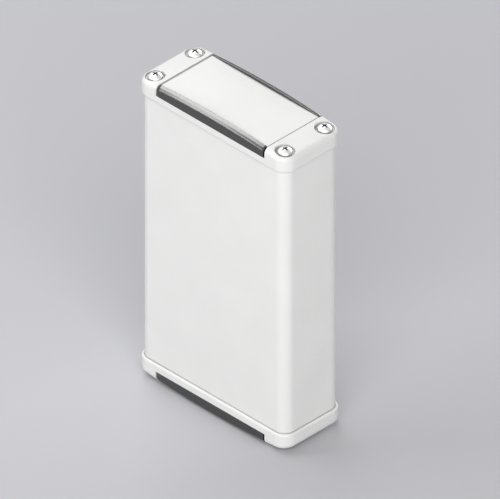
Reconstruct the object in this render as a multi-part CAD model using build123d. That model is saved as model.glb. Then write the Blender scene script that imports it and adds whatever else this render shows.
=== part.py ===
"""Electronics enclosure: an extruded aluminium case that stands on end, closed by two cast end caps.

All sizes are in millimetres. +X runs along the width, -Y is the broad front face and +Z runs along
the extrusion. The origin is on the ground, under the middle of the case. Each end cap is drawn in a
frame of its own, with its rim at zero height and its outer face pointing up, and is then placed.
"""
from build123d import *
import os
from math import atan2, degrees, sqrt

# Circuit cards, and the guides for them along both narrow walls of the profile
card_width = 100.0
card_thickness = 1.6
card_play = 0.4
card_side_play = 0.3
card_overlap = 2.0
guide_floor = 1.2
guide_rib = 1.2
guide_pitch = 7.0
guide_count = 3

# Extruded profile, as wide inside as the cards need
profile_depth = 41.0
profile_length = 170.0
profile_corner_radius = 6.4
profile_wall = 2.0

# Screw channels, one in each corner of the profile, open to the inside
screw_inset_x = 5.75
screw_inset_y = 5.9
channel_wall = 1.9
channel_mouth = 1.8
thread_clearance = 0.1

# End cap, heights measured outward from its rim
overhang = 1.5
insertion = 1.5
socket_clearance = 0.15
rim_land = 0.15
crown_radius = 500.0
pad_crown_height = 12.3
pad_round = 3.2
pad_length = 15.0
panel_height = 10.15
panel_groove = 0.3
end_gap = 1.0
plate_thickness = 2.8
casting_wall = 3.5
pocket_corner_radius = 2.0

# Trim strips, set into both long edges of each cap
ledge_height = 4.5
trim_crown_height = 12.0
trim_depth = 3.0
trim_land = 0.2
peg_diameter = 2.2
peg_length = 2.2
peg_clearance = 0.1
peg_rise = 2.6
peg_inset = 11.0
peg_count = 3

# Gaskets between the profile and the caps
gasket_thickness = 1.2
gasket_inset = 0.2

# Pan head screws with a cross recess
thread_diameter = 4.0
screw_length = 16.0
screw_tip_chamfer = 0.8
head_diameter = 8.0
head_height = 3.1
head_side_height = 1.3
hole_clearance = 0.25
seat_diameter = 10.9
seat_depth = 1.7
cross_span = 4.4
cross_root_span = 1.2
cross_width = 0.9
cross_depth = 2.2

# How far a cutting shape runs past the surface that it opens
over_cut = 1.0

# Sizes that follow from the ones above
slot_bottom_x = card_width / 2 + card_side_play
profile_width = 2 * (slot_bottom_x + guide_floor + profile_wall)
cavity_corner_radius = profile_corner_radius - profile_wall
cap_width = profile_width + 2 * overhang
cap_depth = profile_depth + 2 * overhang
cap_corner_radius = profile_corner_radius + overhang
socket_depth = insertion + gasket_thickness
rim_round = overhang - socket_clearance - rim_land
trim_round = trim_depth - trim_land
seat_wall_y = cap_depth / 2 - trim_depth
recess_length = cap_width - 2 * pad_length
panel_length = recess_length - 2 * end_gap
screw_x = profile_width / 2 - screw_inset_x
screw_y = profile_depth / 2 - screw_inset_y
bore_radius = thread_diameter / 2 + thread_clearance
hole_radius = thread_diameter / 2 + hole_clearance
channel_radius = bore_radius + channel_wall


def sagitta(half_width):
    """How far the crown has dropped at this distance from the middle."""
    return crown_radius - sqrt(crown_radius**2 - half_width**2)


# Heights above the ground, on which the highest point of the lower cap and its trims stands
cap_height = max(trim_crown_height, pad_crown_height - sagitta(recess_length / 2))
bottom_rim_z = cap_height
profile_bottom_z = bottom_rim_z - insertion
profile_top_z = profile_bottom_z + profile_length
top_rim_z = profile_top_z - insertion


def at_corners(shape):
    """The shape once at each of the four screw axes."""
    return [Pos(sx * screw_x, sy * screw_y) * shape for sx in (-1, 1) for sy in (-1, 1)]


def box_between(x_range, y_range, z_range):
    """Box given by its lowest and highest value along each axis."""
    spans = [high - low for low, high in (x_range, y_range, z_range)]
    middles = [(high + low) / 2 for low, high in (x_range, y_range, z_range)]
    return Pos(*middles) * Box(*spans)


def arched_block(half_width, low, peak, y_range):
    """Block with a flat underside and a top that is arched along X."""
    shoulder = peak - sagitta(half_width)
    outline = Polyline(
        (-half_width, shoulder), (-half_width, low), (half_width, low), (half_width, shoulder)
    )
    outline += ThreePointArc((half_width, shoulder), (0, peak), (-half_width, shoulder))
    side_view = Plane.XZ.offset(-y_range[0]) * make_face(outline)
    return extrude(side_view, amount=y_range[0] - y_range[1])


def corner_pads(radius):
    """Plan of the metal around the four screw axes, each joined to the corner behind it."""
    pads = Sketch() + at_corners(Circle(radius))
    for sx in (-1, 1):
        for sy in (-1, 1):
            middle = Pos(sx * (screw_x + screw_inset_x / 2), sy * (screw_y + screw_inset_y / 2))
            pads += middle * Rectangle(screw_inset_x, screw_inset_y)
    return pads


def profile_ring(inset):
    """Plan of the profile's wall with its corner pads, drawn in by the inset on the outside."""
    outline = RectangleRounded(
        profile_width - 2 * inset, profile_depth - 2 * inset, profile_corner_radius - inset
    )
    cavity = RectangleRounded(
        profile_width - 2 * profile_wall, profile_depth - 2 * profile_wall, cavity_corner_radius
    )
    return outline - cavity + (corner_pads(channel_radius) & outline)


def card_guides():
    """Plan of the channels that hold the long edges of circuit cards."""
    slot_width = card_thickness + card_play
    wall_x = slot_bottom_x + guide_floor
    lip_x = card_width / 2 - card_overlap
    guides = Sketch()
    for sx in (-1, 1):
        for place in GridLocations(0, guide_pitch, 1, guide_count):
            block = Pos(sx * (lip_x + wall_x) / 2, 0) * Rectangle(wall_x - lip_x, slot_width + 2 * guide_rib)
            slot = Pos(sx * (lip_x + slot_bottom_x) / 2, 0) * Rectangle(slot_bottom_x - lip_x, slot_width)
            guides += place * (block - slot)
    return guides


def make_profile():
    """The extrusion, from end to end."""
    section = profile_ring(0) + card_guides()
    section -= at_corners(Circle(bore_radius))
    mouth = Rectangle(channel_radius + over_cut, channel_mouth, align=(Align.MIN, Align.CENTER))
    for sx in (-1, 1):
        for sy in (-1, 1):
            inward = Rot(0, 0, degrees(atan2(-sy, -sx)))
            section -= Pos(sx * screw_x, sy * screw_y) * inward * mouth
    return Pos(0, 0, profile_bottom_z) * extrude(section, amount=profile_length)


def make_gasket():
    """Flat gasket that covers the end of the profile, in the cap's frame."""
    plan = profile_ring(gasket_inset) - at_corners(Circle(hole_radius))
    return Pos(0, 0, insertion) * extrude(plan, amount=gasket_thickness)


def cap_blank():
    """Outer form of a cap: a rounded block with an arched top and rounded edges."""
    outline = RectangleRounded(cap_width, cap_depth, cap_corner_radius)
    crown = arched_block(cap_width, -over_cut, pad_crown_height, (-cap_depth, cap_depth))
    blank = extrude(outline, amount=pad_crown_height) & crown
    top_face = blank.faces().sort_by(Axis.Z)[-1]
    blank = fillet(top_face.edges(), pad_round)
    rim_edges = blank.faces().sort_by(Axis.Z)[0].edges()
    return fillet(rim_edges, rim_round)


def cap_pocket():
    """Hollow in the underside of a cap, between its screw bosses."""
    half_x = profile_width / 2 - profile_wall - casting_wall
    half_y = seat_wall_y - casting_wall
    boss = seat_diameter / 2
    plan = Rectangle(2 * (screw_x - boss), 2 * half_y) + Rectangle(2 * half_x, 2 * (screw_y - boss))
    plan = fillet(plan.vertices(), pocket_corner_radius)
    return Pos(0, 0, socket_depth) * extrude(plan, amount=panel_height - plate_thickness - socket_depth)


def peg_places():
    """Where the pegs of the front trim stand, on the wall of its seat."""
    first = peg_inset - panel_length / 2
    pitch = -2 * first / (peg_count - 1)
    return [Pos(first + i * pitch, -seat_wall_y, ledge_height + peg_rise) for i in range(peg_count)]


def peg(radius, length):
    """Round peg that points from the front trim into the cap."""
    return Rot(-90, 0, 0) * Cylinder(radius, length, align=(Align.CENTER, Align.CENTER, Align.MIN))


def make_cap():
    """End cap with its recessed panel, trim seats, screw seats and socket for the profile."""
    above = pad_crown_height + over_cut
    half_recess = recess_length / 2
    half_panel = panel_length / 2
    cap = cap_blank()
    cap -= box_between((-half_recess, half_recess), (-cap_depth, cap_depth), (panel_height, above))
    for sx in (-1, 1):
        groove_x = sorted((sx * half_panel, sx * half_recess))
        cap -= box_between(groove_x, (-cap_depth, cap_depth), (panel_height - panel_groove, above))
    for sy in (-1, 1):
        seat_y = sorted((sy * seat_wall_y, sy * cap_depth))
        cap -= box_between((-half_recess, half_recess), seat_y, (ledge_height, above))
    socket = RectangleRounded(
        profile_width + 2 * socket_clearance,
        profile_depth + 2 * socket_clearance,
        profile_corner_radius + socket_clearance,
    )
    cap -= extrude(socket, amount=socket_depth)
    cap -= cap_pocket()
    seat_floor = screw_seat_height()
    cap -= Pos(0, 0, seat_floor) * extrude(Sketch() + at_corners(Circle(seat_diameter / 2)), amount=above)
    cap -= extrude(Sketch() + at_corners(Circle(hole_radius)), amount=above)
    for turn in (0, 180):
        for place in peg_places():
            hole = peg(peg_diameter / 2 + peg_clearance, peg_length + peg_clearance)
            cap -= Rot(0, 0, turn) * place * hole
    return cap


def make_trim():
    """Front trim strip of a cap, with the pegs that hold it."""
    strip = arched_block(
        panel_length / 2, ledge_height, trim_crown_height, (-cap_depth / 2, -seat_wall_y)
    )
    outer_edge = strip.faces().sort_by(Axis.Y)[0].edges().sort_by(Axis.Z)[-1]
    strip = fillet(outer_edge, trim_round)
    for place in peg_places():
        strip += place * peg(peg_diameter / 2, peg_length)
    return strip


def screw_seat_height():
    """Height of the flat seats under the screw heads."""
    return pad_crown_height - sagitta(screw_x) - seat_depth


def make_screw():
    """Pan head screw on the Z axis, with the underside of its head at zero."""
    head_radius = head_diameter / 2
    outline = Polyline(
        (0, head_height),
        (0, -screw_length),
        (thread_diameter / 2 - screw_tip_chamfer, -screw_length),
        (thread_diameter / 2, screw_tip_chamfer - screw_length),
        (thread_diameter / 2, 0),
        (head_radius, 0),
        (head_radius, head_side_height),
    )
    rise = head_height - head_side_height
    dome_radius = (head_radius**2 + rise**2) / (2 * rise)
    outline += RadiusArc((head_radius, head_side_height), (0, head_height), -dome_radius)
    screw = revolve(Plane.XZ * make_face(outline), Axis.Z)
    wing_view = Polyline(
        (-cross_span / 2, head_height),
        (cross_span / 2, head_height),
        (cross_root_span / 2, head_height - cross_depth),
        (-cross_root_span / 2, head_height - cross_depth),
        close=True,
    )
    wing = extrude(Plane.XZ * make_face(wing_view), amount=cross_width / 2, both=True)
    return screw - wing - Rot(0, 0, 90) * wing


def place_on_top(shape):
    """Moves a shape from the cap's frame to the top of the case."""
    return Pos(0, 0, top_rim_z) * shape


def place_at_bottom(shape):
    """Moves a shape from the cap's frame to the bottom of the case, upside down."""
    return Pos(0, 0, bottom_rim_z) * Rot(180, 0, 0) * shape


def make_nodes():
    """Every piece of the enclosure in its place, by name."""
    cap = make_cap()
    gasket = make_gasket()
    trim = make_trim()
    far_trim = Rot(0, 0, 180) * trim
    screws = [Pos(0, 0, screw_seat_height()) * screw for screw in at_corners(make_screw())]
    return {
        "profile_body": make_profile(),
        "top_end_cap": place_on_top(cap),
        "top_gasket": place_on_top(gasket),
        "top_front_trim": place_on_top(trim),
        "top_back_trim": place_on_top(far_trim),
        "top_screws": Compound([place_on_top(screw) for screw in screws]),
        "bottom_end_cap": place_at_bottom(cap),
        "bottom_gasket": place_at_bottom(gasket),
        "bottom_front_trim": place_at_bottom(far_trim),
        "bottom_back_trim": place_at_bottom(trim),
        "bottom_screws": Compound([place_at_bottom(screw) for screw in screws]),
    }


os.makedirs("parts", exist_ok=True)
for name, shape in make_nodes().items():
    export_step(shape, f"parts/{name}.step")
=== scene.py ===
"""Looks for the electronics enclosure: finishes, detailed caps, trims and screws, studio light and camera.

Lengths are in metres, in the frame of the solids: +X along the width, -Y out of the broad front
face, +Z up, with the case standing on the ground at zero.
"""

from math import cos, radians, sin

import bmesh
import bpy
from mathutils import Matrix, Vector


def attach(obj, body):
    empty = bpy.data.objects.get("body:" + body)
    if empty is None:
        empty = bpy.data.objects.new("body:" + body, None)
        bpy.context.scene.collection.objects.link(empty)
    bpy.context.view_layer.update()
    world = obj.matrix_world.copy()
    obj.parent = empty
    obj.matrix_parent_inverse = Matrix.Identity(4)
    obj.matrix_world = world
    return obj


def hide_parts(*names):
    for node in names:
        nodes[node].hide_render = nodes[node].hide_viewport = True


MM = 0.001

# How near to a place a point has to be to count as there
NEAR = 0.01 * MM
TOUCHING = 0.001 * MM

# Places and sizes shared with the solids
CASE_HEIGHT = 191 * MM
PROFILE_ENDS = (10.5 * MM, 180.5 * MM)
CAVITY_HALF = (51.5 * MM, 18.5 * MM)
SCREW_X = 47.75 * MM
SCREW_Y = 14.6 * MM
SEAT_DEPTH = 3.685 * MM

# The end cap, first what lies how far below its own end of the case
TRIM_SEAT_DEPTH = 7.5 * MM
PANEL_DEPTH = 1.85 * MM
SEAT_RIM_DEPTH = 3.2 * MM  # no part of a screw seat's rim lies deeper
POCKET_HALF = 40 * MM
CAP_HALF_DEPTH = 22 * MM  # from the middle to the front or back
SEAT_RADIUS = 5.45 * MM
SEAT_RIM_BREAK = 0.15 * MM
CAST_EDGE_BREAK = 0.1 * MM

# The trim strip
TRIM_HALF = 39 * MM
TRIM_DEPTH = 3 * MM
TRIM_ROUND = 2.8 * MM
TRIM_EDGE_BREAK = 0.15 * MM
CROWN_RADIUS = 500 * MM
PEG_X = 28 * MM
PEG_Z = 186.1 * MM
PEG_RADIUS = 1.1 * MM
PEG_LENGTH = 2.2 * MM
PEG_TIP_CHAMFER = 0.25 * MM

# The M4 pan head screw
HEAD_RADIUS = 4.0 * MM
HEAD_SIDE = 1.3 * MM
DOME_RISE = 1.8 * MM
BALL = (HEAD_RADIUS**2 + DOME_RISE**2) / (2 * DOME_RISE)
BALL_HEIGHT = HEAD_SIDE + DOME_RISE - BALL
SHOULDER_ROUND = 0.4 * MM
RIM_ROUND = 0.12 * MM
RECESS_SPAN = 4.6 * MM
RECESS_FLOOR_SPAN = 2.1 * MM
RECESS_WIDTH = 1.05 * MM
RECESS_DEPTH = 2.2 * MM
RECESS_TAPER = 0.67  # width of the wings at the floor, as a share of that above the head
RECESS_CORNER_ROUND = 0.26 * MM
SHANK_RADIUS = 2.0 * MM
SCREW_LENGTH = 16 * MM
TIP_CHAMFER = 0.8 * MM
THREAD_PITCH = 0.7 * MM
THREAD_DEPTH = 0.43 * MM
THREAD_CREST = 0.15  # flat top of the thread, as a share of its pitch

# Angles between two faces: up to the first they shade as one, from the second on their edge is
# broken, and up to the third they are joined to one flat face
SMOOTH_BELOW = radians(35)
SHARP_ABOVE = radians(40)
FLAT_WITHIN = radians(0.05)

# The picture: its line of sight, its width, and how far its middle lies to the right of the middle
# of the case and below it
ISOMETRIC_TURN = radians(45)
ISOMETRIC_RISE = radians(35.264)
VIEW_WIDTH = 260.5 * MM
VIEW_RIGHT = 5.26 * MM
VIEW_DOWN = 0.83 * MM
CAMERA_DISTANCE = 1.5

# The floor, and the distances between which it runs into the backdrop's colour
FLOOR_RADIUS = 12
FADE_START = 0.45
FADE_END = 1.3

# Colours as sRGB
COAT_WHITE = "E6E6E4"
# painted shade for the inside corners of the coat
CORNER_SHADE_GREY = "808080"
TRIM_GREY = "666665"
GASKET_BLACK = "1E1E1F"
BARE_ALUMINIUM = "D2D3D5"
STAINLESS = "E4E4E2"
# painted shade for the screws' cross recess
RECESS_SHADE_GREY = "6A6A69"
FLOOR_GREY = "BEBEC2"
BACKDROP_GREY = "CCCCD0"
LIGHT_WHITE = "FFFFFF"

# The range that a noise texture hardly leaves, which is spread over the one wanted
NOISE_RANGE = {"From Min": 0.3, "From Max": 0.7}

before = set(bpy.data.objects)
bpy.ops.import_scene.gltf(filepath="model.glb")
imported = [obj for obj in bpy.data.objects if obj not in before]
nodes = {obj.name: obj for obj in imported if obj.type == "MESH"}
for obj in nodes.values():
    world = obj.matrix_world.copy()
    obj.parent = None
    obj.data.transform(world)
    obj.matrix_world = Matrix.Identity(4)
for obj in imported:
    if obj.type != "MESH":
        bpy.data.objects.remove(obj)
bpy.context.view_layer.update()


def linear(code):
    """An sRGB hex colour as linear red, green, blue and alpha."""
    shares = [int(code[i : i + 2], 16) / 255 for i in (0, 2, 4)]
    return [v / 12.92 if v <= 0.04045 else ((v + 0.055) / 1.055) ** 2.4 for v in shares] + [1.0]


def add(tree, kind, settings=None, values=None, links=None):
    """Adds a node with its settings, the values of its sockets and the sockets that feed it."""
    made = tree.nodes.new(kind)
    for name, value in (settings or {}).items():
        setattr(made, name, value)
    for name, value in (values or {}).items():
        made.inputs[name].default_value = value
    for name, source in (links or {}).items():
        tree.links.new(source, made.inputs[name])
    return made


def new_material(name):
    """An empty material, its node tree, and a node that gives the place on the piece."""
    material = bpy.data.materials.new(name)
    material.use_nodes = True
    tree = material.node_tree
    tree.nodes.clear()
    place = add(tree, "ShaderNodeTexCoord")
    return material, tree, place.outputs["Object"]


def cured_coat(tree, place, peel_length, peel_depth):
    """Satin polyester powder coat: it flows out in the oven, which leaves a faint orange peel. Inside corners
    get painted shade.
    """
    # orange peel, the long soft waves of the melted powder, drawn a little deep so that they just show
    peel = add(
        tree,
        "ShaderNodeTexNoise",
        values={"Scale": 1 / peel_length, "Detail": 1.5, "Roughness": 0.45},
        links={"Vector": place},
    )
    # powder grain of about 0.2 mm, which breaks up the gloss when seen from near
    grain = add(
        tree,
        "ShaderNodeTexNoise",
        values={"Scale": 1 / (0.22 * MM), "Detail": 2.0, "Roughness": 0.6},
        links={"Vector": place},
    )
    # cloudy change of film thickness, over about 25 mm
    cloud = add(
        tree,
        "ShaderNodeTexNoise",
        values={"Scale": 1 / (25 * MM), "Detail": 2.0, "Roughness": 0.5},
        links={"Vector": place},
    )
    waves = add(
        tree,
        "ShaderNodeBump",
        values={"Strength": 1.0, "Distance": peel_depth},
        links={"Height": peel.outputs["Fac"]},
    )
    skin = add(
        tree,
        "ShaderNodeBump",
        values={"Strength": 1.0, "Distance": 0.01 * MM},
        links={"Height": grain.outputs["Fac"], "Normal": waves.outputs["Normal"]},
    )
    tint = add(
        tree,
        "ShaderNodeMapRange",
        values={**NOISE_RANGE, "To Min": 0.97, "To Max": 1.0},
        links={"Value": cloud.outputs["Fac"]},
    )
    colour = add(
        tree,
        "ShaderNodeMix",
        {"data_type": "RGBA", "blend_type": "MULTIPLY"},
        {"Factor": 1.0, "A": linear(COAT_WHITE)},
        {"B": tint.outputs["Result"]},
    )
    # painted shade: the coat's colour is darkened towards grey in inside corners, creases and gaps, the more
    # the nearer surfaces hide them
    corner_occlusion = add(tree, "ShaderNodeAmbientOcclusion", {"samples": 12}, {"Distance": 1.6 * MM})
    corner_shade = add(
        tree,
        "ShaderNodeMapRange",
        values={"From Min": 0.9, "From Max": 0.4, "To Min": 0.0, "To Max": 0.8},
        links={"Value": corner_occlusion.outputs["AO"]},
    )
    coat_with_corner_shade = add(
        tree,
        "ShaderNodeMix",
        {"data_type": "RGBA"},
        {"B": linear(CORNER_SHADE_GREY)},
        {"Factor": corner_shade.outputs["Result"], "A": colour.outputs["Result"]},
    )
    gloss = add(
        tree,
        "ShaderNodeMapRange",
        values={**NOISE_RANGE, "To Min": 0.46, "To Max": 0.54},
        links={"Value": grain.outputs["Fac"]},
    )
    return add(
        tree,
        "ShaderNodeBsdfPrincipled",
        values={"IOR": 1.5},
        links={
            "Base Color": coat_with_corner_shade.outputs["Result"],
            "Roughness": gloss.outputs["Result"],
            "Normal": skin.outputs["Normal"],
        },
    ).outputs["BSDF"]


def bare_aluminium(tree, place):
    """Extruded aluminium without a coat: bright, with die lines drawn along the extrusion."""
    squeezed = add(
        tree,
        "ShaderNodeMapping",
        values={"Scale": (1, 1, 0.004)},
        links={"Vector": place},
    )
    # die lines about 0.4 mm apart, straight along the extrusion
    lines = add(
        tree,
        "ShaderNodeTexNoise",
        values={"Scale": 1 / (0.4 * MM), "Detail": 3.0, "Roughness": 0.6},
        links={"Vector": squeezed.outputs["Vector"]},
    )
    grooves = add(
        tree,
        "ShaderNodeBump",
        values={"Strength": 1.0, "Distance": 0.006 * MM},
        links={"Height": lines.outputs["Fac"]},
    )
    gloss = add(
        tree,
        "ShaderNodeMapRange",
        values={**NOISE_RANGE, "To Min": 0.3, "To Max": 0.45},
        links={"Value": lines.outputs["Fac"]},
    )
    return add(
        tree,
        "ShaderNodeBsdfPrincipled",
        values={"Base Color": linear(BARE_ALUMINIUM), "Metallic": 1.0},
        links={"Roughness": gloss.outputs["Result"], "Normal": grooves.outputs["Normal"]},
    ).outputs["BSDF"]


def coated_extrusion():
    """Powder coated outside, bare aluminium in the cavity and on the sawn ends."""
    material, tree, place = new_material("powder_coated_extruded_aluminium")
    parts = add(tree, "ShaderNodeSeparateXYZ", links={"Vector": place})
    # a little past the walls of the cavity and a little short of the ends, so that these faces count
    past_wall, before_end = 0.06 * MM, 0.05 * MM
    within = []
    for axis, half in zip("XY", CAVITY_HALF):
        away = add(tree, "ShaderNodeMath", {"operation": "ABSOLUTE"}, links={0: parts.outputs[axis]})
        near = add(
            tree,
            "ShaderNodeMath",
            {"operation": "LESS_THAN"},
            {1: half + past_wall},
            {0: away.outputs[0]},
        )
        within.append(near.outputs[0])
    inside = add(tree, "ShaderNodeMath", {"operation": "MULTIPLY"}, links=dict(enumerate(within)))
    middle = sum(PROFILE_ENDS) / 2
    reach = (PROFILE_ENDS[1] - PROFILE_ENDS[0]) / 2
    height = add(tree, "ShaderNodeMath", {"operation": "SUBTRACT"}, {1: middle}, {0: parts.outputs["Z"]})
    away = add(tree, "ShaderNodeMath", {"operation": "ABSOLUTE"}, links={0: height.outputs[0]})
    sawn = add(
        tree,
        "ShaderNodeMath",
        {"operation": "GREATER_THAN"},
        {1: reach - before_end},
        {0: away.outputs[0]},
    )
    bare = add(
        tree,
        "ShaderNodeMath",
        {"operation": "MAXIMUM"},
        links={0: inside.outputs[0], 1: sawn.outputs[0]},
    )
    both = add(tree, "ShaderNodeMixShader", links={"Fac": bare.outputs[0]})
    coat = cured_coat(tree, place, peel_length=2.0 * MM, peel_depth=0.055 * MM)
    tree.links.new(coat, both.inputs[1])
    tree.links.new(bare_aluminium(tree, place), both.inputs[2])
    add(tree, "ShaderNodeOutputMaterial", links={"Surface": both.outputs["Shader"]})
    return material


def coated_casting():
    """Die cast aluminium under the same coat, with a shorter peel than on the extrusion."""
    material, tree, place = new_material("powder_coated_cast_aluminium")
    coat = cured_coat(tree, place, peel_length=1.7 * MM, peel_depth=0.05 * MM)
    add(tree, "ShaderNodeOutputMaterial", links={"Surface": coat})
    return material


def lacquered_plastic():
    """Moulded ABS under a graphite metallic lacquer, whose flakes lie flat and draw long highlights."""
    material, tree, place = new_material("graphite_lacquered_moulded_abs")
    # the mould's spark texture under the lacquer, drawn 0.35 mm coarse so that it just shows
    sparks = add(
        tree,
        "ShaderNodeTexNoise",
        values={"Scale": 1 / (0.35 * MM), "Detail": 3.0, "Roughness": 0.6},
        links={"Vector": place},
    )
    waves = add(
        tree,
        "ShaderNodeBump",
        values={"Strength": 1.0, "Distance": 0.0006 * MM},
        links={"Height": sparks.outputs["Fac"]},
    )
    gloss = add(
        tree,
        "ShaderNodeMapRange",
        values={**NOISE_RANGE, "To Min": 0.19, "To Max": 0.22},
        links={"Value": sparks.outputs["Fac"]},
    )
    shader = add(
        tree,
        "ShaderNodeBsdfPrincipled",
        values={"Base Color": linear(TRIM_GREY), "Metallic": 1.0},
        links={"Roughness": gloss.outputs["Result"], "Normal": waves.outputs["Normal"]},
    )
    add(tree, "ShaderNodeOutputMaterial", links={"Surface": shader.outputs["BSDF"]})
    return material


def sealing_rubber():
    """EPDM rubber, die cut from sheet: black, matt and faintly mottled where the sheet was calendered."""
    material, tree, place = new_material("die_cut_epdm_rubber")
    mottle = add(
        tree,
        "ShaderNodeTexNoise",
        values={"Scale": 1 / (0.8 * MM), "Detail": 3.0},
        links={"Vector": place},
    )
    gloss = add(
        tree,
        "ShaderNodeMapRange",
        values={**NOISE_RANGE, "To Min": 0.7, "To Max": 0.9},
        links={"Value": mottle.outputs["Fac"]},
    )
    shader = add(
        tree,
        "ShaderNodeBsdfPrincipled",
        values={"Base Color": linear(GASKET_BLACK), "IOR": 1.52},
        links={"Roughness": gloss.outputs["Result"]},
    )
    add(tree, "ShaderNodeOutputMaterial", links={"Surface": shader.outputs["BSDF"]})
    return material


def stainless_steel():
    """Cold headed stainless steel: bright, with faint rings round each screw's axis, and painted shade in the
    recess.
    """
    material, tree, place = new_material("cold_headed_stainless_steel")
    # all eight screws folded onto one, measured from the middle of the case
    centred = add(
        tree,
        "ShaderNodeVectorMath",
        {"operation": "SUBTRACT"},
        {1: (0, 0, CASE_HEIGHT / 2)},
        {0: place},
    )
    folded = add(
        tree,
        "ShaderNodeVectorMath",
        {"operation": "ABSOLUTE"},
        links={0: centred.outputs["Vector"]},
    )
    from_ball = add(
        tree,
        "ShaderNodeVectorMath",
        {"operation": "SUBTRACT"},
        {1: (SCREW_X, SCREW_Y, CASE_HEIGHT / 2 - SEAT_DEPTH + BALL_HEIGHT)},
        {0: folded.outputs["Vector"]},
    )
    across = add(
        tree,
        "ShaderNodeVectorMath",
        {"operation": "MULTIPLY"},
        {1: (1, 1, 0)},
        {0: from_ball.outputs["Vector"]},
    )
    radius = add(
        tree,
        "ShaderNodeVectorMath",
        {"operation": "LENGTH"},
        links={0: across.outputs["Vector"]},
    )
    # rings of the heading die, about 0.3 mm apart
    rings = add(
        tree,
        "ShaderNodeTexNoise",
        {"noise_dimensions": "1D"},
        {"Scale": 1 / (0.3 * MM), "Detail": 2.0},
        {"W": radius.outputs["Value"]},
    )
    turned = add(
        tree,
        "ShaderNodeBump",
        values={"Strength": 1.0, "Distance": 0.004 * MM},
        links={"Height": rings.outputs["Fac"]},
    )
    gloss = add(
        tree,
        "ShaderNodeMapRange",
        values={**NOISE_RANGE, "To Min": 0.42, "To Max": 0.52},
        links={"Value": rings.outputs["Fac"]},
    )
    # painted shade, a darker grey over the recess: all that lies under the ball of the dome is darkened,
    # fully so from a third of a millimetre down, within reach of the wings and above the shank
    skin, fully_shaded, slack = 0.03 * MM, 0.35 * MM, 0.1 * MM
    distance = add(
        tree,
        "ShaderNodeVectorMath",
        {"operation": "LENGTH"},
        links={0: from_ball.outputs["Vector"]},
    )
    sunk = add(
        tree,
        "ShaderNodeMapRange",
        values={"From Min": BALL - skin, "From Max": BALL - fully_shaded},
        links={"Value": distance.outputs["Value"]},
    )
    recess = sunk.outputs["Result"]
    for test, limit, measure in (
        ("LESS_THAN", RECESS_SPAN / 2 + slack, radius),
        ("GREATER_THAN", BALL - RECESS_DEPTH - slack, distance),
    ):
        within = add(tree, "ShaderNodeMath", {"operation": test}, {1: limit}, {0: measure.outputs["Value"]})
        both = add(tree, "ShaderNodeMath", {"operation": "MULTIPLY"}, links={0: recess, 1: within.outputs[0]})
        recess = both.outputs[0]
    colour = add(
        tree,
        "ShaderNodeMix",
        {"data_type": "RGBA"},
        {"A": linear(STAINLESS), "B": linear(RECESS_SHADE_GREY)},
        {"Factor": recess},
    )
    shader = add(
        tree,
        "ShaderNodeBsdfPrincipled",
        values={"Metallic": 1.0},
        links={
            "Base Color": colour.outputs["Result"],
            "Roughness": gloss.outputs["Result"],
            "Normal": turned.outputs["Normal"],
        },
    )
    add(tree, "ShaderNodeOutputMaterial", links={"Surface": shader.outputs["BSDF"]})
    return material


def dress(piece, material):
    """Gives a piece this one material."""
    piece.data.materials.clear()
    piece.data.materials.append(material)


extrusion_finish = coated_extrusion()
casting_finish = coated_casting()
trim_finish = lacquered_plastic()
rubber_finish = sealing_rubber()
steel_finish = stainless_steel()

# every solid has its finish, also one that a detailed piece stands for
dress(nodes["profile_body"], extrusion_finish)
for end in ("top", "bottom"):
    dress(nodes[f"{end}_end_cap"], casting_finish)
    dress(nodes[f"{end}_gasket"], rubber_finish)
    dress(nodes[f"{end}_front_trim"], trim_finish)
    dress(nodes[f"{end}_back_trim"], trim_finish)
    dress(nodes[f"{end}_screws"], steel_finish)


def only(piece):
    """Makes this piece the active one and the only one selected."""
    bpy.ops.object.select_all(action="DESELECT")
    piece.select_set(True)
    bpy.context.view_layer.objects.active = piece


def picked(piece, kind, wanted):
    """Selects only the points, edges or faces of a piece in edit mode that the test wants."""
    bpy.ops.mesh.select_all(action="DESELECT")
    mesh = bmesh.from_edit_mesh(piece.data)
    for item in getattr(mesh, kind):
        if wanted(item):
            item.select_set(True)
    mesh.select_flush_mode()
    bmesh.update_edit_mesh(piece.data)


def ends(edge, wanted):
    """Whether both ends of an edge are where the test wants them."""
    return all(wanted(point.co) for point in edge.verts)


def sliced(at, off, closed=True):
    """Cuts the whole piece in edit mode with a plane through a point and takes away what lies beyond it."""
    bpy.ops.mesh.select_all(action="SELECT")
    bpy.ops.mesh.bisect(
        plane_co=at,
        plane_no=off,
        clear_outer=True,
        use_fill=closed,
        threshold=TOUCHING,
    )


def cut_with(piece, tool, operation):
    """Joins, cuts or trims a piece with a second one, which is used up."""
    change = piece.modifiers.new("cut", "BOOLEAN")
    change.operation = operation
    change.solver = "EXACT"
    change.object = tool
    only(piece)
    bpy.ops.object.modifier_apply(modifier=change.name)
    bpy.data.objects.remove(tool)


def finish_shape(piece):
    """Smooth shading over rounded faces, with flat faces kept flat up to their edges."""
    only(piece)
    bpy.ops.object.shade_smooth_by_angle(angle=SMOOTH_BELOW)
    even = piece.modifiers.new("even", "WEIGHTED_NORMAL")
    even.keep_sharp = True
    bpy.ops.object.modifier_apply(modifier=even.name)


def break_edges(piece, width, wanted):
    """Rounds the sharp outward edges that the test wants, as moulds, tumbling and coats leave them."""
    bpy.ops.object.mode_set(mode="EDIT")
    bpy.ops.mesh.select_mode(type="EDGE")
    picked(
        piece,
        "edges",
        lambda edge: (
            edge.is_convex
            and edge.calc_face_angle(0) > SHARP_ABOVE
            and wanted((edge.verts[0].co + edge.verts[1].co) / 2)
        ),
    )
    bpy.ops.mesh.bevel(offset=width, segments=2, loop_slide=False)
    bpy.ops.object.mode_set(mode="OBJECT")


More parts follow.
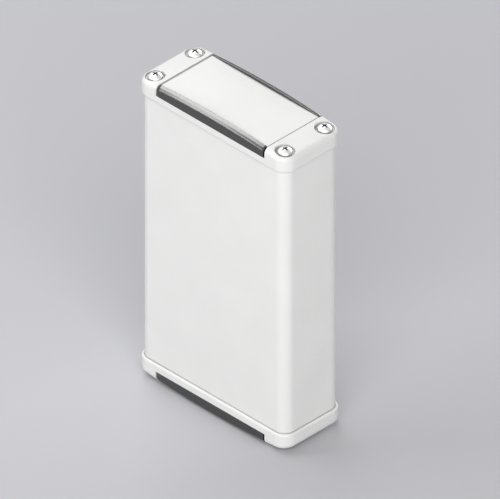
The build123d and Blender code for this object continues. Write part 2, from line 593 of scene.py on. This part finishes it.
def end_casting(end):
    """The cast end cap: the solid with its triangles joined to whole faces and its edges broken."""
    piece = bpy.data.objects.new(f"{end}_cap_casting", nodes[f"{end}_end_cap"].data.copy())
    bpy.context.scene.collection.objects.link(piece)
    only(piece)
    bpy.ops.mesh.customdata_custom_splitnormals_clear()
    bpy.ops.object.mode_set(mode="EDIT")
    bpy.ops.mesh.select_all(action="SELECT")
    bpy.ops.mesh.remove_doubles(threshold=TOUCHING / 2)
    bpy.ops.mesh.dissolve_limited(angle_limit=FLAT_WITHIN)
    bpy.ops.object.mode_set(mode="OBJECT")

    def depth(at):
        """How far this place is from the end of the case."""
        return CASE_HEIGHT - at.z if end == "top" else at.z

    def off_seat(at):
        """Distance from the wall of the nearest screw seat."""
        return abs(((abs(at.x) - SCREW_X) ** 2 + (abs(at.y) - SCREW_Y) ** 2) ** 0.5 - SEAT_RADIUS)

    # the rims of the four screw seats
    break_edges(
        piece,
        SEAT_RIM_BREAK,
        lambda at: depth(at) < SEAT_RIM_DEPTH and off_seat(at) < 0.1 * MM,
    )
    # the panel, the raised ends beside it and the pockets of the trims
    break_edges(
        piece,
        CAST_EDGE_BREAK,
        lambda at: (
            depth(at) < TRIM_SEAT_DEPTH + NEAR
            and (
                abs(abs(at.x) - POCKET_HALF) < NEAR
                or abs(abs(at.y) - CAP_HALF_DEPTH) < NEAR
                or abs(depth(at) - PANEL_DEPTH) < NEAR
            )
        ),
    )
    finish_shape(piece)
    dress(piece, casting_finish)
    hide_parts(f"{end}_end_cap")
    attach(piece, "root")


def trim_strip():
    """The strip of the upper front edge: a disc of the crown's radius, cut down and rounded over."""
    front, back = -CAP_HALF_DEPTH, TRIM_DEPTH - CAP_HALF_DEPTH
    seat = CASE_HEIGHT - TRIM_SEAT_DEPTH
    # the sides are 2.9 mm long, and lie within 0.003 mm of the true arc
    bpy.ops.mesh.primitive_cylinder_add(
        vertices=1080,
        radius=CROWN_RADIUS,
        depth=TRIM_DEPTH,
        rotation=(radians(90), 0, 0),
        location=(0, (front + back) / 2, CASE_HEIGHT - CROWN_RADIUS),
    )
    strip = bpy.context.object
    bpy.ops.object.transform_apply()
    bpy.ops.object.mode_set(mode="EDIT")
    sliced((0, 0, seat), (0, 0, -1))
    sliced((TRIM_HALF, 0, 0), (1, 0, 0))
    sliced((-TRIM_HALF, 0, 0), (-1, 0, 0))
    bpy.ops.mesh.select_all(action="SELECT")
    bpy.ops.mesh.normals_make_consistent(inside=False)
    bpy.ops.mesh.select_mode(type="EDGE")
    # the front edge of the crown
    picked(strip, "edges", lambda edge: ends(edge, lambda at: at.y < front + NEAR and at.z > seat + MM))
    bpy.ops.mesh.bevel(offset=TRIM_ROUND, segments=12)
    bpy.ops.object.mode_set(mode="OBJECT")
    break_edges(strip, TRIM_EDGE_BREAK, lambda at: True)
    for x in (-PEG_X, 0, PEG_X):
        cut_with(strip, trim_peg(x, back), "UNION")
    finish_shape(strip)
    dress(strip, trim_finish)
    return strip


def trim_peg(x, root):
    """A peg on the back of the strip, with its tip chamfered to find the hole."""
    rooted = 0.5 * MM
    bpy.ops.mesh.primitive_cylinder_add(
        vertices=32,
        radius=PEG_RADIUS,
        depth=PEG_LENGTH + rooted,
        rotation=(radians(90), 0, 0),
        location=(x, root + (PEG_LENGTH - rooted) / 2, PEG_Z),
    )
    peg = bpy.context.object
    bpy.ops.object.transform_apply()
    break_edges(peg, PEG_TIP_CHAMFER, lambda at: at.y > root)
    return peg


def pan_head():
    """The domed head, standing on its seat at zero: a ball cut flat, with its side drawn down."""
    bpy.ops.mesh.primitive_uv_sphere_add(
        segments=64,
        ring_count=25,
        radius=BALL,
        location=(0, 0, BALL_HEIGHT),
    )
    head = bpy.context.object
    bpy.ops.object.transform_apply()
    bpy.ops.object.mode_set(mode="EDIT")
    sliced((0, 0, HEAD_SIDE), (0, 0, -1), closed=False)
    bpy.ops.mesh.extrude_region_move(TRANSFORM_OT_translate={"value": (0, 0, -HEAD_SIDE)})
    bpy.ops.mesh.edge_face_add()
    bpy.ops.mesh.select_mode(type="EDGE")
    # the shoulder between the dome and the side, rounded by the heading die
    picked(head, "edges", lambda edge: ends(edge, lambda at: abs(at.z - HEAD_SIDE) < TOUCHING))
    bpy.ops.mesh.bevel(offset=SHOULDER_ROUND, segments=4)
    picked(head, "edges", lambda edge: ends(edge, lambda at: at.z < TOUCHING))
    bpy.ops.mesh.bevel(offset=RIM_ROUND, segments=2)
    bpy.ops.object.mode_set(mode="OBJECT")
    return head


def cross_punch():
    """The punch of the cross recess: four tapering wings, rounded where they meet."""
    above = 0.5 * MM
    half = RECESS_WIDTH / 2
    steepness = (RECESS_SPAN - RECESS_FLOOR_SPAN) / (2 * RECESS_DEPTH)
    reach = RECESS_SPAN / 2 + steepness * above
    bpy.ops.mesh.primitive_plane_add(size=RECESS_WIDTH, location=(0, 0, HEAD_SIDE + DOME_RISE + above))
    punch = bpy.context.object
    bpy.ops.object.transform_apply()
    bpy.ops.object.mode_set(mode="EDIT")
    bpy.ops.mesh.select_mode(type="EDGE")
    # one wing drawn out of each edge of the small square
    for x, y in ((1, 0), (0, 1), (-1, 0), (0, -1)):
        picked(
            punch,
            "edges",
            lambda edge: ends(
                edge,
                lambda at: (
                    at.x * x + at.y * y > half - TOUCHING
                    and max(abs(at.x), abs(at.y)) < half + TOUCHING
                ),
            ),
        )
        bpy.ops.mesh.extrude_region_move(
            TRANSFORM_OT_translate={"value": (x * (reach - half), y * (reach - half), 0)}
        )
    bpy.ops.mesh.select_all(action="SELECT")
    bpy.ops.mesh.extrude_region_move(TRANSFORM_OT_translate={"value": (0, 0, -RECESS_DEPTH - above)})
    # the wings grow thinner towards the floor of the recess, and their tips lean in
    bpy.ops.transform.resize(value=(RECESS_TAPER, RECESS_TAPER, 1), center_override=(0, 0, 0))
    lean = RECESS_FLOOR_SPAN / 2 / (reach * RECESS_TAPER)
    bpy.ops.mesh.select_mode(type="VERT")
    picked(punch, "verts", lambda point: point.co.z < HEAD_SIDE and abs(point.co.x) > half)
    bpy.ops.transform.resize(value=(lean, 1, 1), center_override=(0, 0, 0))
    picked(punch, "verts", lambda point: point.co.z < HEAD_SIDE and abs(point.co.y) > half)
    bpy.ops.transform.resize(value=(1, lean, 1), center_override=(0, 0, 0))
    bpy.ops.mesh.select_mode(type="EDGE")
    picked(
        punch,
        "edges",
        lambda edge: (
            abs(edge.verts[0].co.z - edge.verts[1].co.z) > MM
            and ends(edge, lambda at: max(abs(at.x), abs(at.y)) < half + TOUCHING)
        ),
    )
    bpy.ops.mesh.bevel(offset=RECESS_CORNER_ROUND, segments=3)
    bpy.ops.mesh.select_all(action="SELECT")
    bpy.ops.mesh.normals_make_consistent(inside=False)
    bpy.ops.object.mode_set(mode="OBJECT")
    return punch


def threaded_shank():
    """The shank below the seat: a rolled thread of M4 pitch, cut to length and chamfered at its tip."""
    # the winding starts below the tip and ends inside the head, and is then cut to length
    spare_turns = 4
    turns = int(SCREW_LENGTH / THREAD_PITCH) + spare_turns
    bottom = -SCREW_LENGTH - 1.5 * THREAD_PITCH
    middle = SHANK_RADIUS - THREAD_DEPTH / 2
    into_head = 0.4 * MM
    # one ridge in section: a square scaled to a tooth, open on the side of the axis
    bpy.ops.mesh.primitive_plane_add(size=1, rotation=(radians(90), 0, 0), location=(0, 0, 0))
    shank = bpy.context.object
    shank.scale = (THREAD_DEPTH, THREAD_PITCH, 1)
    shank.location = (middle, 0, bottom)
    bpy.ops.object.transform_apply()
    bpy.ops.object.mode_set(mode="EDIT")
    bpy.ops.mesh.select_mode(type="VERT")
    picked(shank, "verts", lambda point: point.co.x > middle)
    bpy.ops.transform.resize(value=(1, 1, THREAD_CREST), center_override=(middle, 0, bottom))
    bpy.ops.mesh.select_mode(type="EDGE")
    picked(shank, "edges", lambda edge: ends(edge, lambda at: at.x < middle))
    bpy.ops.mesh.delete(type="EDGE")
    bpy.ops.object.mode_set(mode="OBJECT")
    winding = shank.modifiers.new("winding", "SCREW")
    winding.axis = "Z"
    winding.angle = radians(360)
    winding.screw_offset = THREAD_PITCH
    winding.iterations = turns
    winding.steps = winding.render_steps = 32
    bpy.ops.object.modifier_apply(modifier=winding.name)
    bpy.ops.object.mode_set(mode="EDIT")
    bpy.ops.mesh.select_all(action="SELECT")
    bpy.ops.mesh.remove_doubles(threshold=2 * TOUCHING)
    sliced((0, 0, -SCREW_LENGTH), (0, 0, -1))
    sliced((0, 0, into_head), (0, 0, 1))
    bpy.ops.mesh.select_all(action="SELECT")
    bpy.ops.mesh.normals_make_consistent(inside=False)
    bpy.ops.object.mode_set(mode="OBJECT")
    cut_with(shank, tip_gauge(), "INTERSECT")
    return shank


def tip_gauge():
    """A pin a little thicker than the thread, with a chamfered end that trims the thread's tip."""
    slack = 0.1 * MM
    above = 2 * MM
    bpy.ops.mesh.primitive_cylinder_add(
        vertices=64,
        radius=SHANK_RADIUS + slack,
        depth=SCREW_LENGTH + above,
        location=(0, 0, (above - SCREW_LENGTH) / 2),
    )
    pin = bpy.context.object
    bpy.ops.object.transform_apply()
    bpy.ops.object.mode_set(mode="EDIT")
    bpy.ops.mesh.select_mode(type="EDGE")
    picked(pin, "edges", lambda edge: ends(edge, lambda at: at.z < MM - SCREW_LENGTH))
    bpy.ops.mesh.bevel(offset=TIP_CHAMFER + slack, segments=1)
    bpy.ops.object.mode_set(mode="OBJECT")
    return pin


def pan_head_screw():
    """One finished screw, standing up on its seat at zero."""
    screw = pan_head()
    cut_with(screw, cross_punch(), "DIFFERENCE")
    cut_with(screw, threaded_shank(), "UNION")
    finish_shape(screw)
    dress(screw, steel_finish)
    return screw


def set_copy(pattern, name, place, turn, node):
    """A copy of a finished piece with a mesh of its own, turned and put where it belongs."""
    only(pattern)
    bpy.ops.object.duplicate(linked=False)
    piece = bpy.context.object
    piece.name = piece.data.name = name
    piece.location = place
    piece.rotation_euler = [radians(angle) for angle in turn]
    bpy.ops.object.transform_apply()
    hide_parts(node)
    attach(piece, "root")


for end in ("top", "bottom"):
    end_casting(end)

trim_pattern = trim_strip()
# each strip is the first one turned over about X, Z or both, with its crown outwards
for end, side, height, turn in (
    ("top", "front", 0, (0, 0, 0)),
    ("top", "back", 0, (0, 0, 180)),
    ("bottom", "front", CASE_HEIGHT, (180, 0, 180)),
    ("bottom", "back", CASE_HEIGHT, (180, 0, 0)),
):
    set_copy(
        trim_pattern,
        name=f"{end}_{side}_trim_strip",
        place=(0, 0, height),
        turn=turn,
        node=f"{end}_{side}_trim",
    )
bpy.data.objects.remove(trim_pattern)

screw_pattern = pan_head_screw()
for end, seat, turn in (("top", CASE_HEIGHT - SEAT_DEPTH, (0, 0, 0)), ("bottom", SEAT_DEPTH, (180, 0, 0))):
    for side, y in (("front", -SCREW_Y), ("back", SCREW_Y)):
        for hand, x in (("left", -SCREW_X), ("right", SCREW_X)):
            set_copy(
                screw_pattern,
                name=f"{end}_{side}_{hand}_screw",
                place=(x, y, seat),
                turn=turn,
                node=f"{end}_screws",
            )
bpy.data.objects.remove(screw_pattern)


def seen_by_eye(tree):
    """One for what the camera sees, straight, in a reflection or through glass, and zero for light."""
    path = add(tree, "ShaderNodeLightPath")
    seen = path.outputs["Is Camera Ray"]
    for ray in ("Is Glossy Ray", "Is Transmission Ray"):
        either = add(tree, "ShaderNodeMath", {"operation": "MAXIMUM"}, links={0: seen, 1: path.outputs[ray]})
        seen = either.outputs[0]
    return seen


def plain_floor():
    """A wide pale matt floor under the case, which runs into the backdrop's colour far away."""
    bpy.ops.mesh.primitive_circle_add(
        vertices=96,
        radius=FLOOR_RADIUS,
        fill_type="NGON",
        location=(0, 0, 0),
    )
    floor = bpy.context.object
    floor.name = "studio_floor"
    material, tree, place = new_material("pale_matt_floor")
    matt = add(
        tree,
        "ShaderNodeBsdfPrincipled",
        values={"Base Color": linear(FLOOR_GREY), "Roughness": 0.9, "Specular IOR Level": 0.2},
    )
    backdrop = add(tree, "ShaderNodeEmission", values={"Color": linear(BACKDROP_GREY), "Strength": 1.0})
    away = add(tree, "ShaderNodeVectorMath", {"operation": "LENGTH"}, links={"Vector": place})
    far = add(
        tree,
        "ShaderNodeMapRange",
        {"interpolation_type": "SMOOTHSTEP"},
        {"From Min": FADE_START, "From Max": FADE_END},
        {"Value": away.outputs["Value"]},
    )
    share = add(
        tree,
        "ShaderNodeMath",
        {"operation": "MULTIPLY"},
        links={0: far.outputs["Result"], 1: seen_by_eye(tree)},
    )
    both = add(tree, "ShaderNodeMixShader", links={"Fac": share.outputs[0]})
    tree.links.new(matt.outputs["BSDF"], both.inputs[1])
    tree.links.new(backdrop.outputs["Emission"], both.inputs[2])
    add(tree, "ShaderNodeOutputMaterial", links={"Surface": both.outputs["Shader"]})
    dress(floor, material)


def soft_light(name, towards, along, distance, size, power):
    """A rectangular lamp in that direction from the case and facing it, with its length along a line."""
    data = bpy.data.lights.new(name, "AREA")
    data.shape = "RECTANGLE"
    data.size, data.size_y = size
    data.energy = power
    lamp = bpy.data.objects.new(name, data)
    bpy.context.scene.collection.objects.link(lamp)
    away = Vector(towards).normalized()
    across = Vector(along).cross(away).normalized()
    turn = Matrix((across, away.cross(across), away)).transposed()
    lamp.matrix_world = Matrix.Translation(away * distance + Vector((0, 0, CASE_HEIGHT / 2))) @ turn.to_4x4()
    lamp.visible_camera = False


def pale_world(strength):
    """Even light from all round, and a pale backdrop where the camera sees past the floor."""
    world = bpy.data.worlds.new("pale_room")
    bpy.context.scene.world = world
    world.use_nodes = True
    tree = world.node_tree
    tree.nodes.clear()
    light = add(tree, "ShaderNodeBackground", values={"Color": linear(LIGHT_WHITE), "Strength": strength})
    backdrop = add(tree, "ShaderNodeBackground", values={"Color": linear(BACKDROP_GREY), "Strength": 1.0})
    both = add(tree, "ShaderNodeMixShader", links={"Fac": seen_by_eye(tree)})
    tree.links.new(light.outputs[0], both.inputs[1])
    tree.links.new(backdrop.outputs[0], both.inputs[2])
    add(tree, "ShaderNodeOutputWorld", links={"Surface": both.outputs[0]})


def isometric_camera():
    """Looks along a true isometric line of sight, framed as in the picture."""
    turn, rise = ISOMETRIC_TURN, ISOMETRIC_RISE
    back = Vector((sin(turn) * cos(rise), -cos(turn) * cos(rise), sin(rise)))
    right = Vector((cos(turn), sin(turn), 0))
    up = back.cross(right)
    aim = Vector((0, 0, CASE_HEIGHT / 2)) + right * VIEW_RIGHT - up * VIEW_DOWN
    data = bpy.data.cameras.new("isometric_camera")
    data.type = "ORTHO"
    data.ortho_scale = VIEW_WIDTH
    data.clip_start, data.clip_end = 0.05, 20
    camera = bpy.data.objects.new("isometric_camera", data)
    bpy.context.scene.collection.objects.link(camera)
    camera.location = aim + back * CAMERA_DISTANCE
    camera.rotation_euler = back.to_track_quat("Z", "Y").to_euler()
    bpy.context.scene.camera = camera


plain_floor()
# A narrow strip and a broad lamp follow one arc to the left of the case, from the horizon in front
# of it to past overhead. They draw the long highlight over the rounded top of the trims.
soft_light(
    "front_strip_light",
    towards=(-0.577, -0.707, 0.408),
    along=(0, 0.5, 0.866),
    distance=1.1,
    size=(0.14, 1.0),
    power=2.35,
)
soft_light(
    "overhead_light",
    towards=(-0.577, 0.1, 0.81),
    along=(0, 0.99, -0.12),
    distance=1.1,
    size=(0.42, 1.3),
    power=8.0,
)
# The main lamp stands near the camera, and is large so that its reflection in the top is soft.
soft_light(
    "key_light",
    towards=(0.612, -0.612, 0.5),
    along=(0, 0, 1),
    distance=1.5,
    size=(1.5, 1.5),
    power=25.5,
)
# A low lamp lights the back, which the camera doesn't see.
soft_light(
    "back_light",
    towards=(-0.15, 0.98, 0.14),
    along=(0, 0, 1),
    distance=1.6,
    size=(1.2, 0.4),
    power=12.0,
)
pale_world(strength=0.09)
isometric_camera()
bpy.context.scene.view_settings.view_transform = "Standard"
